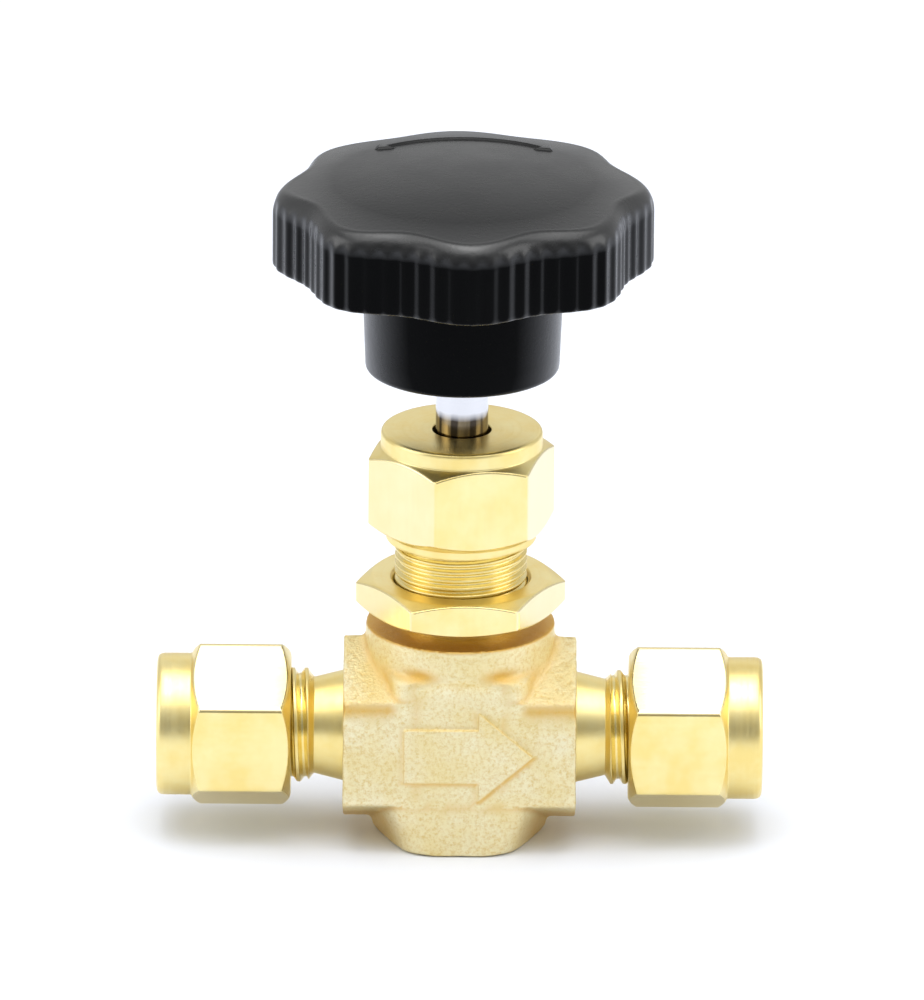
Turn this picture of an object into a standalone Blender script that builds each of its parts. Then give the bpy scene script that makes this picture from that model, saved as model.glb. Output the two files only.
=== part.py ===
"""Brass integral-bonnet needle valve with a lobed phenolic knob and double-ferrule tube ends.

Metres, +Z up. The origin is the centre of the base under the stem. The flow runs along +X.
Threads are plain cylinders with a running gap. The valve stands fully open.
"""

import math

import bmesh
import bpy
from mathutils import Matrix

# Driving dimensions
TUBE_AXIS_Z = 0.0103
OVERALL_LENGTH = 0.0578
RUNNING_GAP = 0.0001  # radial clearance of a thread or a sliding fit
REST_GAP = 0.0003  # between pieces that touch without moving on each other
CUTTER_OVERRUN = 0.001

# Body forging
WING_HALF_LENGTH = 0.0111
WING_RIDGE = 0.00915
WING_FLAT_HALF = 0.0052
FRONT_FLAT_Y = 0.0083
COLUMN_HALF_WIDTH = 0.0089
COLUMN_FLAT_HALF = 0.0061
COLUMN_TOP_Z = 0.0179
BASE_HALF_WIDTH = 0.0082
BASE_FLAT_HALF = 0.0043
BASE_EDGE_HEIGHT = 0.0011
NECK_RADIUS = 0.0090
SHOULDER_Z = 0.0210
BONNET_RADIUS = 0.0063
BONNET_TOP_Z = 0.0345
EDGE_BREAK = 0.0004

# Flow arrow, raised on both flats
ARROW_HEIGHT = 0.0005
ARROW_TAIL_X = -0.0053
ARROW_NECK_X = 0.0018
ARROW_TIP_X = 0.0070
ARROW_TAIL_HALF = 0.0027
ARROW_HEAD_HALF = 0.0045

# Stem bore, seat and packing chamber
ORIFICE_RADIUS = 0.0016
ORIFICE_BOTTOM_Z = 0.0020
SEAT_Z = 0.0070
INLET_PASSAGE_RADIUS = 0.0015
INLET_PASSAGE_END_Z = 0.0032
STEM_BORE_RADIUS = 0.0040
CHAMBER_FLOOR_Z = 0.0278
CHAMBER_RADIUS = 0.0044
WASHER_HEIGHT = 0.0010
LOWER_PACKING_HEIGHT = 0.0014
UPPER_PACKING_HEIGHT = 0.0015

# Tube fitting, as distances from the stem axis along the flow
FITTING_ROOT_RADIUS = 0.0053
FITTING_WAIST_RADIUS = 0.0046
THREAD_START = 0.0139
THREAD_RADIUS = 0.00545
THREAD_END = 0.0242
SOCKET_RADIUS = 0.00325
SOCKET_FLOOR = 0.0175
MOUTH_START = 0.0212
MOUTH_RADIUS = 0.0043
OUTLET_PASSAGE_RADIUS = 0.0022

# Tube nut: a 9/16 inch hexagon with a round collar at its outer end
TUBE_NUT_FLATS = 0.01429
TUBE_NUT_INNER = 0.0161
TUBE_NUT_OUTER = OVERALL_LENGTH / 2
TUBE_COLLAR_LENGTH = 0.0033
TUBE_COLLAR_RADIUS = 0.00678
TUBE_NUT_WALL = 0.0013
TUBE_NUT_CONE_LENGTH = 0.0020
TUBE_NUT_CONE_END_RADIUS = 0.0047

# Ferrules
FRONT_FERRULE_INSET = 0.0007  # from the start of the mouth to the nose
FRONT_FERRULE_RIM = 0.0008
BACK_FERRULE_RADIUS = 0.0044
BACK_FERRULE_NOSE = 0.0006

# Packing nut: a 5/8 inch hexagon with a round collar on top
PACKING_NUT_FLATS = 0.01588
PACKING_NUT_BOTTOM_Z = 0.0295
PACKING_NUT_TOP_Z = 0.0404
PACKING_COLLAR_HEIGHT = 0.0016
PACKING_COLLAR_RADIUS = 0.0077
PACKING_RIM_HEIGHT = 0.0009
PACKING_RIM_RADIUS = 0.0072
PACKING_NUT_ROOF_Z = 0.0373
PACKING_NUT_ANGLE = math.radians(-16.5)

# Gland: a flange between the bonnet and the packing nut's roof
GLAND_FLANGE_LIFT = 0.0010  # above the bonnet

# Panel nut: an 11/16 inch hexagon
PANEL_NUT_FLATS = 0.01746
PANEL_NUT_BOTTOM_Z = 0.0224
PANEL_NUT_TOP_Z = 0.0256
PANEL_NUT_ANGLE = math.radians(-27.5)

# Slopes of the rounded-off hexagon corners
NUT_CHAMFER = math.radians(30)
PANEL_NUT_CHAMFER = math.radians(24)

# Stem and its swivelling tip, valve open
STEM_RADIUS = 0.0025
STEM_THREAD_BOTTOM_Z = 0.0188
STEM_THREAD_TOP_Z = 0.0268
STEM_BOTTOM_Z = 0.0133
STEM_TOP_Z = 0.0616
TIP_POINT_Z = 0.0094
TIP_CONE_HEIGHT = 0.0024
TIP_POINT_RADIUS = 0.0005
TIP_RADIUS = 0.0022
TIP_COLLAR_HEIGHT = 0.0012
TIP_SHANK_RADIUS = 0.0012
TIP_SHANK_HEIGHT = 0.0020

# Handle
LOBES = 8
LOBE_RADIUS = 0.0181
VALLEY_RADIUS = 0.0166
LOBE_PHASE = math.radians(3.0)
SKIRT_BOTTOM_Z = 0.05685
SKIRT_TOP_Z = 0.0622
SHOULDER_DEPTH = 0.0017  # how far the rounded shoulder comes in
SHOULDER_STEPS = 5
HANDLE_TOP_Z = 0.0662
CROWN_DROP = 0.0019  # from the centre of the dome to the radius of the lobes
CROWN_SHARES = (0.75, 0.5, 0.25, 0.02)
HUB_RADIUS = 0.0092
HUB_TAPER = 0.0004
HUB_BOTTOM_Z = 0.0466
HUB_TOP_Z = 0.0620
RECESS_INNER_RADIUS = 0.0105
RECESS_OUTER_RADIUS = 0.0142
RECESS_TOP_Z = 0.0610
RIB_THICKNESS = 0.0012

# Bush and set screw inside the hub
INSERT_RADIUS = 0.0050
INSERT_HOLE_TOP_Z = 0.0621
INSERT_TOP_Z = 0.0606
INSERT_BOTTOM_Z = 0.0470
SET_SCREW_Z = 0.0512
SET_SCREW_RADIUS = 0.0015
SET_SCREW_INSET = 0.0007
SET_SCREW_SOCKET_DEPTH = 0.0016
SET_SCREW_SOCKET_RADIUS = 0.0008

# Sides of the round shapes
RING_SIDES = 32
SMALL_SIDES = 24
LOBED_SIDES = 64
BODY_SIDES = 40


def clear_scene():
    for old in list(bpy.data.objects):
        bpy.data.objects.remove(old, do_unlink=True)


def new_collection(name):
    collection = bpy.data.collections.new(name)
    bpy.context.scene.collection.children.link(collection)
    return collection


def make_material(name, colour, roughness, metallic):
    material = bpy.data.materials.new(name)
    material.use_nodes = True
    shader = material.node_tree.nodes["Principled BSDF"]
    shader.inputs["Base Color"].default_value = (*colour, 1.0)
    shader.inputs["Roughness"].default_value = roughness
    shader.inputs["Metallic"].default_value = metallic
    return material


def add_object(name, mesh):
    obj = bpy.data.objects.new(name, mesh)
    cutters.objects.link(obj)
    return obj


def turned(name, outline, sides=RING_SIDES, closed=True, offset=0.0):
    """Turn (radius, height) points about local Z. The outline runs down its outer side.

    A closed outline makes a ring. An open one has both ends on the axis.
    The offset, in sides, turns a cutter's edges away from those of the piece it cuts.
    """
    count = len(outline)
    start = 2 * math.pi * offset / sides
    links = [(i, i + 1) for i in range(count - 1)]
    if closed:
        links.append((count - 1, 0))
    mesh = bpy.data.meshes.new(name)
    points = [(radius * math.cos(start), radius * math.sin(start), height) for radius, height in outline]
    mesh.from_pydata(points, links, [])
    obj = add_object(name, mesh)
    screw = obj.modifiers.new("turn", "SCREW")
    screw.steps = sides
    screw.render_steps = sides
    screw.use_merge_vertices = True
    screw.merge_threshold = 0.00001
    return obj


def cylinder(name, radius, low, high, sides=RING_SIDES):
    """An upright solid cylinder from height low to height high."""
    mesh = bpy.data.meshes.new(name)
    shape = bmesh.new()
    bmesh.ops.create_cone(
        shape,
        cap_ends=True,
        segments=sides,
        radius1=radius,
        radius2=radius,
        depth=high - low,
        matrix=Matrix.Translation((0.0, 0.0, (low + high) / 2)),
    )
    shape.to_mesh(mesh)
    shape.free()
    return add_object(name, mesh)


def hexagon(name, flats, low, high):
    """A hexagonal prism with corners at +Y and -Y, measured across its flats."""
    return cylinder(name, flats / math.sqrt(3), low, high, sides=6)


def lofted(name, rings):
    """A solid through rings of equal point counts, flat at both ends."""
    mesh = bpy.data.meshes.new(name)
    shape = bmesh.new()
    loops = [[shape.verts.new(point) for point in ring] for ring in rings]
    for lower, upper in zip(loops, loops[1:]):
        for i, start in enumerate(lower):
            j = (i + 1) % len(lower)
            shape.faces.new((start, lower[j], upper[j], upper[i]))
    shape.faces.new(loops[0][::-1])
    shape.faces.new(loops[-1])
    bmesh.ops.recalc_face_normals(shape, faces=shape.faces)
    shape.to_mesh(mesh)
    shape.free()
    return add_object(name, mesh)


def block(name, size, centre):
    mesh = bpy.data.meshes.new(name)
    shape = bmesh.new()
    bmesh.ops.create_cube(shape, size=1.0, matrix=Matrix.Translation(centre) @ Matrix.Diagonal((*size, 1.0)))
    shape.to_mesh(mesh)
    shape.free()
    return add_object(name, mesh)


def combine(base, operation, other):
    """Add a Boolean to base. The other object stays behind as a hidden helper."""
    other.hide_render = True
    other.display_type = "WIRE"
    boolean = base.modifiers.new(operation.lower(), "BOOLEAN")
    boolean.operation = operation
    boolean.object = other


def bevel(obj, width, segments=2):
    modifier = obj.modifiers.new("edges", "BEVEL")
    modifier.width = width
    modifier.segments = segments
    modifier.limit_method = "ANGLE"
    modifier.angle_limit = math.radians(20)


def weld(mesh):
    """Join the near-coincident points that a cut leaves."""
    shape = bmesh.new()
    shape.from_mesh(mesh)
    bmesh.ops.remove_doubles(shape, verts=shape.verts, dist=0.000001)
    shape.to_mesh(mesh)
    shape.free()


def finish(obj, material, parent=None):
    """Freeze the modifiers, shade smooth, give the material and file the part."""
    bpy.context.view_layer.update()
    graph = bpy.context.evaluated_depsgraph_get()
    mesh = bpy.data.meshes.new_from_object(obj.evaluated_get(graph))
    mesh.name = obj.name
    weld(mesh)
    obj.modifiers.clear()
    obj.data = mesh
    mesh.materials.clear()
    mesh.materials.append(material)
    mesh.shade_smooth()
    mesh.set_sharp_from_angle(angle=math.radians(32))
    cutters.objects.unlink(obj)
    valve.objects.link(obj)
    if parent:
        obj.parent = parent
    return obj


def axis_empty(name, location, turn=0.0):
    """An empty on a joint's axis. A turn of +90 or -90 degrees about Y lays local Z along X."""
    empty = bpy.data.objects.new(name, None)
    empty.empty_display_size = 0.005
    empty.location = location
    empty.rotation_euler = (0.0, turn, 0.0)
    valve.objects.link(empty)
    return empty


def laid_along_x(obj, side):
    """Turn a piece made along +Z so that it points along side times +X on the tube axis."""
    obj.location = (0.0, 0.0, TUBE_AXIS_Z)
    obj.rotation_euler = (0.0, side * math.pi / 2, 0.0)
    return obj


def wing_bar():
    """The bar across the body: its facets slope from the parting line to two flats."""
    section = [
        (-FRONT_FLAT_Y, -WING_FLAT_HALF),
        (0.0, -WING_RIDGE),
        (FRONT_FLAT_Y, -WING_FLAT_HALF),
        (FRONT_FLAT_Y, WING_FLAT_HALF),
        (0.0, WING_RIDGE),
        (-FRONT_FLAT_Y, WING_FLAT_HALF),
    ]
    ends = (-WING_HALF_LENGTH, WING_HALF_LENGTH)
    bar = lofted("wing_bar", [[(x, y, TUBE_AXIS_Z + z) for y, z in section] for x in ends])
    bevel(bar, EDGE_BREAK)
    return bar


def column():
    """The upright middle: widest on the parting line, flat in front and behind, narrower at the base."""

    def ring(height, half_width, flat_half, flat_y):
        return [
            (half_width, 0.0, height),
            (flat_half, flat_y, height),
            (-flat_half, flat_y, height),
            (-half_width, 0.0, height),
            (-flat_half, -flat_y, height),
            (flat_half, -flat_y, height),
        ]

    waist_z = TUBE_AXIS_Z - WING_FLAT_HALF
    middle = (COLUMN_HALF_WIDTH, COLUMN_FLAT_HALF, FRONT_FLAT_Y + EDGE_BREAK / 4)
    rings = [
        ring(0.0, BASE_HALF_WIDTH, BASE_FLAT_HALF, FRONT_FLAT_Y - EDGE_BREAK),
        ring(BASE_EDGE_HEIGHT, COLUMN_HALF_WIDTH, BASE_FLAT_HALF + EDGE_BREAK, middle[2]),
        ring(waist_z, *middle),
        ring(COLUMN_TOP_Z, *middle),
    ]
    return lofted("column", rings)


def bonnet():
    """The round neck with the panel shoulder and the bonnet above it."""
    neck_bottom_z = TUBE_AXIS_Z
    tip_chamfer = 0.0005
    outline = [
        (0.0, BONNET_TOP_Z),
        (BONNET_RADIUS - tip_chamfer, BONNET_TOP_Z),
        (BONNET_RADIUS, BONNET_TOP_Z - tip_chamfer),
        (BONNET_RADIUS, SHOULDER_Z),
        (NECK_RADIUS - EDGE_BREAK, SHOULDER_Z),
        (NECK_RADIUS, SHOULDER_Z - EDGE_BREAK),
        (NECK_RADIUS, neck_bottom_z),
        (0.0, neck_bottom_z),
    ]
    return turned("bonnet", outline, BODY_SIDES, closed=False)


def fitting_end(side):
    """One tube-fitting neck: a tapered waist and a threaded end, along +Z until it is laid down."""
    tip_chamfer = 0.0004
    outline = [
        (0.0, THREAD_END),
        (THREAD_RADIUS - tip_chamfer, THREAD_END),
        (THREAD_RADIUS, THREAD_END - tip_chamfer),
        (THREAD_RADIUS, THREAD_START + EDGE_BREAK),
        (FITTING_WAIST_RADIUS, THREAD_START),
        (FITTING_ROOT_RADIUS, WING_HALF_LENGTH),
        (FITTING_ROOT_RADIUS, WING_HALF_LENGTH - CUTTER_OVERRUN),
        (0.0, WING_HALF_LENGTH - CUTTER_OVERRUN),
    ]
    return laid_along_x(turned("fitting_end", outline, closed=False), side)


def socket_cutter(side):
    """The tube socket and the ferrule's conical mouth."""
    cutter_end = THREAD_END + CUTTER_OVERRUN
    outline = [
        (0.0, cutter_end),
        (mouth_radius_at(cutter_end), cutter_end),
        (SOCKET_RADIUS, MOUTH_START),
        (SOCKET_RADIUS, SOCKET_FLOOR),
        (0.0, SOCKET_FLOOR),
    ]
    return laid_along_x(turned("socket_cutter", outline, closed=False, offset=0.5), side)


def stem_bore_cutter():
    """The packing chamber, the stem bore and the orifice under the seat."""
    outline = [
        (0.0, BONNET_TOP_Z + CUTTER_OVERRUN),
        (CHAMBER_RADIUS, BONNET_TOP_Z + CUTTER_OVERRUN),
        (CHAMBER_RADIUS, CHAMBER_FLOOR_Z),
        (STEM_BORE_RADIUS, CHAMBER_FLOOR_Z),
        (STEM_BORE_RADIUS, SEAT_Z),
        (ORIFICE_RADIUS, SEAT_Z),
        (ORIFICE_RADIUS, ORIFICE_BOTTOM_Z),
        (0.0, ORIFICE_BOTTOM_Z),
    ]
    return turned("stem_bore_cutter", outline, closed=False, offset=0.5)


def outlet_passage_cutter():
    """From the chamber over the seat to the outlet socket."""
    straight = cylinder("outlet_passage_cutter", OUTLET_PASSAGE_RADIUS, 0.0, SOCKET_FLOOR + CUTTER_OVERRUN)
    return laid_along_x(straight, 1)


def inlet_passage_cutter():
    """A slanted drilling from the inlet socket down to the orifice."""
    run = SOCKET_FLOOR + EDGE_BREAK
    drop = TUBE_AXIS_Z - INLET_PASSAGE_END_Z
    slanted = cylinder("inlet_passage_cutter", INLET_PASSAGE_RADIUS, 0.0, math.hypot(run, drop))
    slanted.location = (0.0, 0.0, INLET_PASSAGE_END_Z)
    slanted.rotation_euler = (0.0, -math.atan2(run, drop), 0.0)
    return slanted


def flow_arrow(face):
    """The raised arrow on the front flat (face -1) or the back one (face +1). It points along +X."""
    outline = [
        (ARROW_TAIL_X, -ARROW_TAIL_HALF),
        (ARROW_NECK_X, -ARROW_TAIL_HALF),
        (ARROW_NECK_X, -ARROW_HEAD_HALF),
        (ARROW_TIP_X, 0.0),
        (ARROW_NECK_X, ARROW_HEAD_HALF),
        (ARROW_NECK_X, ARROW_TAIL_HALF),
        (ARROW_TAIL_X, ARROW_TAIL_HALF),
    ]
    depths = (face * (FRONT_FLAT_Y - CUTTER_OVERRUN), face * (FRONT_FLAT_Y + ARROW_HEIGHT))
    return lofted("flow_arrow", [[(x, y, TUBE_AXIS_Z + z) for x, z in outline] for y in depths])


def make_body(material):
    body = column()
    body.name = "body"
    for piece in (wing_bar(), bonnet(), fitting_end(-1), fitting_end(1), flow_arrow(-1), flow_arrow(1)):
        combine(body, "UNION", piece)
    for cutter in (
        stem_bore_cutter(),
        socket_cutter(-1),
        socket_cutter(1),
        outlet_passage_cutter(),
        inlet_passage_cutter(),
    ):
        combine(body, "DIFFERENCE", cutter)
    return finish(body, material)


def make_ring(name, inner, outer, low, high, material, parent=None):
    """A plain ring with its outer edges broken."""
    edge = EDGE_BREAK / 2
    outline = [
        (inner, high),
        (outer - edge, high),
        (outer, high - edge),
        (outer, low + edge),
        (outer - edge, low),
        (inner, low),
    ]
    return finish(turned(name, outline), material, parent)


def make_packing(ptfe, steel):
    """The washer and the two rings in the packing chamber, from the bottom up."""
    inner = STEM_RADIUS + RUNNING_GAP
    outer = CHAMBER_RADIUS - RUNNING_GAP
    pieces = (
        ("packing_support", WASHER_HEIGHT, steel),
        ("lower_packing", LOWER_PACKING_HEIGHT, ptfe),
        ("upper_packing", UPPER_PACKING_HEIGHT, ptfe),
    )
    low = CHAMBER_FLOOR_Z + REST_GAP / 2
    for name, height, material in pieces:
        make_ring(name, inner, outer, low, low + height, material)
        low += height + REST_GAP / 2
    return low


def make_gland(bottom_z, material, parent):
    """A flanged bush: its sleeve presses the packing, its flange lies under the nut's roof."""
    inner = STEM_RADIUS + RUNNING_GAP
    sleeve = CHAMBER_RADIUS - RUNNING_GAP
    flange = BONNET_RADIUS - EDGE_BREAK
    flange_bottom_z = BONNET_TOP_Z + GLAND_FLANGE_LIFT
    flange_top_z = PACKING_NUT_ROOF_Z - REST_GAP
    outline = [
        (inner, flange_top_z),
        (flange, flange_top_z),
        (flange, flange_bottom_z),
        (sleeve, flange_bottom_z),
        (sleeve, bottom_z),
        (inner, bottom_z),
    ]
    return finish(turned("packing_gland", outline), material, parent)


def make_packing_nut(material, parent):
    corner = PACKING_NUT_FLATS / math.sqrt(3)
    collar_bottom_z = PACKING_NUT_TOP_Z - PACKING_COLLAR_HEIGHT
    edge = EDGE_BREAK
    bore = BONNET_RADIUS + RUNNING_GAP
    stem_hole = STEM_RADIUS + REST_GAP
    drop = (corner - PACKING_COLLAR_RADIUS) * math.tan(NUT_CHAMFER)
    rim_top_z = PACKING_NUT_BOTTOM_Z + PACKING_RIM_HEIGHT
    rise = (corner - PACKING_RIM_RADIUS) * math.tan(NUT_CHAMFER)
    outline = [
        (stem_hole, PACKING_NUT_TOP_Z),
        (PACKING_COLLAR_RADIUS - edge, PACKING_NUT_TOP_Z),
        (PACKING_COLLAR_RADIUS, PACKING_NUT_TOP_Z - edge),
        (PACKING_COLLAR_RADIUS, collar_bottom_z),
        (corner, collar_bottom_z - drop),
        (corner, rim_top_z + rise),
        (PACKING_RIM_RADIUS, rim_top_z),
        (PACKING_RIM_RADIUS, PACKING_NUT_BOTTOM_Z),
        (bore, PACKING_NUT_BOTTOM_Z),
        (bore, PACKING_NUT_ROOF_Z),
        (stem_hole, PACKING_NUT_ROOF_Z),
    ]
    nut = turned("packing_nut", outline)
    prism = hexagon(
        "packing_hexagon",
        PACKING_NUT_FLATS,
        PACKING_NUT_BOTTOM_Z - CUTTER_OVERRUN,
        PACKING_NUT_TOP_Z + CUTTER_OVERRUN,
    )
    prism.rotation_euler = (0.0, 0.0, PACKING_NUT_ANGLE)
    combine(nut, "INTERSECT", prism)
    return finish(nut, material, parent)


def make_panel_nut(material, parent):
    corner = PANEL_NUT_FLATS / math.sqrt(3)
    face = PANEL_NUT_FLATS / 2 - EDGE_BREAK / 2
    drop = (corner - face) * math.tan(PANEL_NUT_CHAMFER)
    bore = BONNET_RADIUS + RUNNING_GAP
    outline = [
        (bore, PANEL_NUT_TOP_Z),
        (face, PANEL_NUT_TOP_Z),
        (corner, PANEL_NUT_TOP_Z - drop),
        (corner, PANEL_NUT_BOTTOM_Z + drop),
        (face, PANEL_NUT_BOTTOM_Z),
        (bore, PANEL_NUT_BOTTOM_Z),
    ]
    nut = turned("panel_nut", outline)
    prism = hexagon(
        "panel_hexagon",
        PANEL_NUT_FLATS,
        PANEL_NUT_BOTTOM_Z - CUTTER_OVERRUN,
        PANEL_NUT_TOP_Z + CUTTER_OVERRUN,
    )
    prism.rotation_euler = (0.0, 0.0, PANEL_NUT_ANGLE)
    combine(nut, "INTERSECT", prism)
    return finish(nut, material, parent)


def make_tube_nut(name, side, material, parent):
    """A tube nut along local +Z, which its parent lays along the flow."""
    corner = TUBE_NUT_FLATS / math.sqrt(3)
    collar_start = TUBE_NUT_OUTER - TUBE_COLLAR_LENGTH
    edge = EDGE_BREAK
    thread = THREAD_RADIUS + RUNNING_GAP
    hole = SOCKET_RADIUS + RUNNING_GAP
    shoulder = TUBE_NUT_OUTER - TUBE_NUT_WALL
    cone_start = shoulder - TUBE_NUT_CONE_LENGTH
    drop = (corner - TUBE_COLLAR_RADIUS) * math.tan(NUT_CHAMFER)
    outline = [
        (hole, TUBE_NUT_OUTER),
        (TUBE_COLLAR_RADIUS - edge, TUBE_NUT_OUTER),
        (TUBE_COLLAR_RADIUS, TUBE_NUT_OUTER - edge),
        (TUBE_COLLAR_RADIUS, collar_start),
        (corner, collar_start - drop),
        (corner, TUBE_NUT_INNER + drop),
        (TUBE_COLLAR_RADIUS, TUBE_NUT_INNER),
        (thread, TUBE_NUT_INNER),
        (thread, cone_start),
        (TUBE_NUT_CONE_END_RADIUS, shoulder),
        (hole, shoulder),
    ]
    nut = turned(name, outline)
    prism = hexagon(
        name + "_hexagon",
        TUBE_NUT_FLATS,
        TUBE_NUT_INNER - CUTTER_OVERRUN,
        TUBE_NUT_OUTER + CUTTER_OVERRUN,
    )
    # The corners point up and down once the nut lies along the flow
    prism.rotation_euler = (0.0, 0.0, math.radians(90 + side))
    combine(nut, "INTERSECT", prism)
    return finish(nut, material, parent)


def mouth_radius_at(distance):
    """Radius of the conical mouth at a distance from the stem axis."""
    slope = (MOUTH_RADIUS - SOCKET_RADIUS) / (THREAD_END - MOUTH_START)
    return SOCKET_RADIUS + slope * (distance - MOUTH_START)


def make_ferrules(prefix, material, parent):
    """The front cone and the back ring that grip the tube, along local +Z."""
    nose = MOUTH_START + FRONT_FERRULE_INSET
    rim = THREAD_END + REST_GAP
    front_end = rim + FRONT_FERRULE_RIM
    rim_radius = MOUTH_RADIUS + RUNNING_GAP
    front = [
        (SOCKET_RADIUS, front_end - REST_GAP),
        (rim_radius - REST_GAP, front_end),
        (rim_radius, front_end - REST_GAP),
        (rim_radius, rim),
        (mouth_radius_at(THREAD_END) - RUNNING_GAP, rim),
        (mouth_radius_at(THREAD_END) - RUNNING_GAP, THREAD_END),
        (mouth_radius_at(nose) - RUNNING_GAP, nose),
        (SOCKET_RADIUS, nose),
    ]
    back_start = front_end + REST_GAP / 2
    back_end = TUBE_NUT_OUTER - TUBE_NUT_WALL - REST_GAP
    back = [
        (SOCKET_RADIUS, back_end),
        (BACK_FERRULE_RADIUS, back_end),
        (BACK_FERRULE_RADIUS, back_start + BACK_FERRULE_NOSE),
        (BACK_FERRULE_RADIUS - BACK_FERRULE_NOSE, back_start),
        (SOCKET_RADIUS, back_start),
    ]
    finish(turned(prefix + "_front_ferrule", front), material, parent)
    finish(turned(prefix + "_back_ferrule", back), material, parent)


def make_stem_tip(material, parent):
    """The needle point, its collar and the shank that swivels in the stem."""
    collar_bottom = TIP_POINT_Z + TIP_CONE_HEIGHT
    collar_top = collar_bottom + TIP_COLLAR_HEIGHT
    shank_top = collar_top + TIP_SHANK_HEIGHT
    outline = [
        (0.0, shank_top),
        (TIP_SHANK_RADIUS, shank_top),
        (TIP_SHANK_RADIUS, collar_top),
        (TIP_RADIUS, collar_top),
        (TIP_RADIUS, collar_bottom),
        (TIP_POINT_RADIUS, TIP_POINT_Z),
        (0.0, TIP_POINT_Z),
    ]
    return finish(turned("stem_tip", outline, closed=False), material, parent)


def make_stem(material, parent):
    """The stem: a socket for the tip, the power thread and the polished upper part."""
    socket_radius = TIP_SHANK_RADIUS + RUNNING_GAP
    tip_top = TIP_POINT_Z + TIP_CONE_HEIGHT + TIP_COLLAR_HEIGHT + TIP_SHANK_HEIGHT
    socket_top = tip_top + REST_GAP
    thread = STEM_BORE_RADIUS - RUNNING_GAP
    edge = EDGE_BREAK
    outline = [
        (0.0, STEM_TOP_Z),
        (STEM_RADIUS - edge, STEM_TOP_Z),
        (STEM_RADIUS, STEM_TOP_Z - edge),
        (STEM_RADIUS, STEM_THREAD_TOP_Z),
        (thread - edge, STEM_THREAD_TOP_Z),
        (thread, STEM_THREAD_TOP_Z - edge),
        (thread, STEM_THREAD_BOTTOM_Z + edge),
        (thread - edge, STEM_THREAD_BOTTOM_Z),
        (STEM_RADIUS, STEM_THREAD_BOTTOM_Z),
        (STEM_RADIUS, STEM_BOTTOM_Z),
        (socket_radius, STEM_BOTTOM_Z),
        (socket_radius, socket_top),
        (0.0, socket_top),
    ]
    return finish(turned("stem", outline, closed=False), material, parent)


def lobed_radius(angle):
    """Radius of the skirt at an angle from +X."""
    depth = (LOBE_RADIUS - VALLEY_RADIUS) / 2
    return LOBE_RADIUS - depth * (1 - math.cos(LOBES * (angle + math.pi / 2 - LOBE_PHASE)))


def crown_height(radius):
    """Height of the gently domed top at a distance from the axis."""
    return HANDLE_TOP_Z - CROWN_DROP * (radius / LOBE_RADIUS) ** 2


def knob_profile(edge_radius):
    """The knob's half section, as (radius, height), where its skirt has this radius."""
    shoulder_radius = edge_radius - SHOULDER_DEPTH
    rise = crown_height(shoulder_radius) - SKIRT_TOP_Z
    profile = [
        (edge_radius - EDGE_BREAK, SKIRT_BOTTOM_Z),
        (edge_radius, SKIRT_BOTTOM_Z + EDGE_BREAK),
    ]
    for i in range(SHOULDER_STEPS + 1):
        angle = math.pi / 2 * i / SHOULDER_STEPS
        radius = edge_radius - SHOULDER_DEPTH * (1 - math.cos(angle))
        profile.append((radius, SKIRT_TOP_Z + rise * math.sin(angle)))
    for share in CROWN_SHARES:
        radius = shoulder_radius * share
        profile.append((radius, crown_height(radius)))
    return profile


def knob_shape():
    """The lobed skirt with a rounded shoulder under a low dome."""
    columns = []
    for i in range(LOBED_SIDES):
        angle = 2 * math.pi * i / LOBED_SIDES - math.pi / 2 + LOBE_PHASE
        profile = knob_profile(lobed_radius(angle))
        columns.append([(r * math.cos(angle), r * math.sin(angle), height) for r, height in profile])
    return lofted("handle", list(zip(*columns)))


def hub():
    """The round hub under the skirt, slightly wider at its root."""
    outline = [
        (0.0, HUB_TOP_Z),
        (HUB_RADIUS + HUB_TAPER, HUB_TOP_Z),
        (HUB_RADIUS + HUB_TAPER, SKIRT_BOTTOM_Z),
        (HUB_RADIUS, HUB_BOTTOM_Z + EDGE_BREAK),
        (HUB_RADIUS - EDGE_BREAK, HUB_BOTTOM_Z),
        (0.0, HUB_BOTTOM_Z),
    ]
    return turned("hub", outline, BODY_SIDES, closed=False)


def recess_cutter():
    """The hollow under the skirt, with radial ribs left standing in it."""
    low = SKIRT_BOTTOM_Z - CUTTER_OVERRUN
    outline = [
        (RECESS_INNER_RADIUS, RECESS_TOP_Z),
        (RECESS_OUTER_RADIUS, RECESS_TOP_Z),
        (RECESS_OUTER_RADIUS, low),
        (RECESS_INNER_RADIUS, low),
    ]
    recess = turned("recess_cutter", outline)
    height = RECESS_TOP_Z - low + CUTTER_OVERRUN
    centre = (0.0, 0.0, (low + RECESS_TOP_Z) / 2)
    for i in range(LOBES // 2):
        rib = block("rib_guard", (4 * LOBE_RADIUS, RIB_THICKNESS, height), centre)
        rib.rotation_euler = (0.0, 0.0, LOBE_PHASE + math.pi * i / (LOBES // 2))
        combine(recess, "DIFFERENCE", rib)
    return recess


def set_screw_cutter():
    """The cross hole for the set screw, from the back of the hub to the axis."""
    length = HUB_RADIUS + CUTTER_OVERRUN
    hole = cylinder("set_screw_cutter", SET_SCREW_RADIUS + REST_GAP, 0.0, length, SMALL_SIDES)
    hole.location = (0.0, 0.0, SET_SCREW_Z)
    hole.rotation_euler = (-math.pi / 2, 0.0, 0.0)
    return hole


def make_handle(material, parent):
    handle = knob_shape()
    combine(handle, "UNION", hub())
    insert_hole = cylinder(
        "insert_cutter",
        INSERT_RADIUS + REST_GAP,
        HUB_BOTTOM_Z - CUTTER_OVERRUN,
        INSERT_HOLE_TOP_Z,
    )
    for cutter in (recess_cutter(), insert_hole, set_screw_cutter()):
        combine(handle, "DIFFERENCE", cutter)
    return finish(handle, material, parent)


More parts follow.
